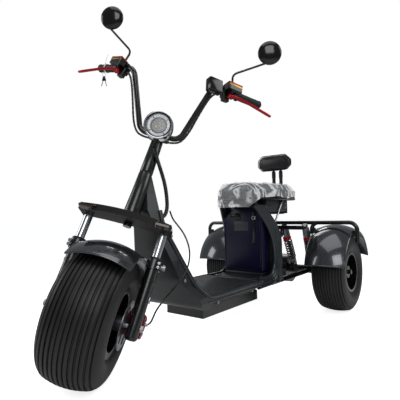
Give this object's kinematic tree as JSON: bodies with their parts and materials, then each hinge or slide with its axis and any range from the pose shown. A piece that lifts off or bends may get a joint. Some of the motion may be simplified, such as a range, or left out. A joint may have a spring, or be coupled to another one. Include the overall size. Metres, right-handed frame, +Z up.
{
  "type": "electric trike scooter",
  "caption": "Step-through electric trike scooter with a fat steered front wheel, padded seat with backrest, removable battery and domed fenders.",
  "frame": {"origin": "middle of the bottom of the bounding box, on the floor", "axes": "+Z up, -Y the front of the trike, +X its left side"},
  "size_m": [1.002, 1.8916, 1.4823],
  "materials": {
    "painted_steel": "black powder coat",
    "metallic_grey": "metallic grey lacquer",
    "black_plastic": "grained black moulding",
    "grey_plastic": "textured dark grey moulding",
    "gloss_black": "polished black moulding",
    "chrome": "polished",
    "bright_steel": "brushed and zinc plated",
    "cast_aluminium": "cast, satin",
    "red_alloy": "red anodised alloy",
    "tyre_rubber": "ribbed road tread",
    "rubber": "ribbed grip rubber",
    "seat_cover": "grained vinyl under clear film",
    "mirror_glass": "mirror",
    "clear_glass": "clear lens",
    "amber_lens": "amber lens",
    "red_lens": "red lens"
  },
  "bodies": {
    "frame": {"main_frame": "painted_steel", "neck_cover": "grey_plastic", "front_shield": "black_plastic", "deck": "black_plastic", "seat_base": "black_plastic", "controller_box": "painted_steel", "battery_pack": "black_plastic", "seat_tray": "black_plastic", "seat_cushion": "seat_cover", "seat_stays": "bright_steel", "backrest_posts": "painted_steel", "backrest_pad": "seat_cover", "rear_frame": "painted_steel", "rear_axle": "painted_steel", "shocks": "cast_aluminium", "rear_fenders": "metallic_grey", "fender_hoops": "painted_steel", "tail_lamp": "red_lens", "cable_bundle": "rubber", "brake_hose": "rubber"},
    "steering": {"steering_stem": "painted_steel", "fork_crown": "painted_steel", "fork_stanchions": "chrome", "fork_leg_left": "painted_steel", "fork_leg_right": "painted_steel", "front_axle": "bright_steel", "front_fender": "metallic_grey", "brake_caliper": "red_alloy", "turn_signals": "amber_lens", "handlebar": "painted_steel", "bar_clamp": "painted_steel", "headlamp": "chrome", "headlamp_glass": "clear_glass", "grips": "rubber", "brake_levers": "red_alloy", "master_cylinders": "painted_steel", "reservoir_lids": "red_alloy", "switch_pods": "black_plastic", "display": "gloss_black", "mirrors": "gloss_black", "riser_cables": "rubber"},
    "front_wheel": {"front_tyre": "tyre_rubber", "front_rim": "painted_steel", "front_brake_disc": "bright_steel"},
    "rear_wheel_left": {"rear_tyre_left": "tyre_rubber", "rear_rim_left": "painted_steel"},
    "rear_wheel_right": {"rear_tyre_right": "tyre_rubber", "rear_rim_right": "painted_steel"}
  },
  "joints": [
    {"name": "steering_turn", "type": "hinge", "parent": "frame", "child": "steering", "pos_m": [0, -0.71331, 0.21808], "axis": [0, 0.4462, 0.8949], "range_deg": [-74, 0], "deforming": ["cable_bundle", "brake_hose"]},
    {"name": "front_wheel_spin", "type": "hinge", "parent": "steering", "child": "front_wheel", "pos_m": [0.01324, -0.72903, 0.22592], "axis": [0.7986, 0.5386, -0.2685], "continuous": true},
    {"name": "rear_wheel_left_spin", "type": "hinge", "parent": "frame", "child": "rear_wheel_left", "pos_m": [0.3555, 0.692, 0.217], "axis": [1, 0, 0], "continuous": true},
    {"name": "rear_wheel_right_spin", "type": "hinge", "parent": "frame", "child": "rear_wheel_right", "pos_m": [-0.3555, 0.692, 0.217], "axis": [1, 0, 0], "continuous": true}
  ]
}
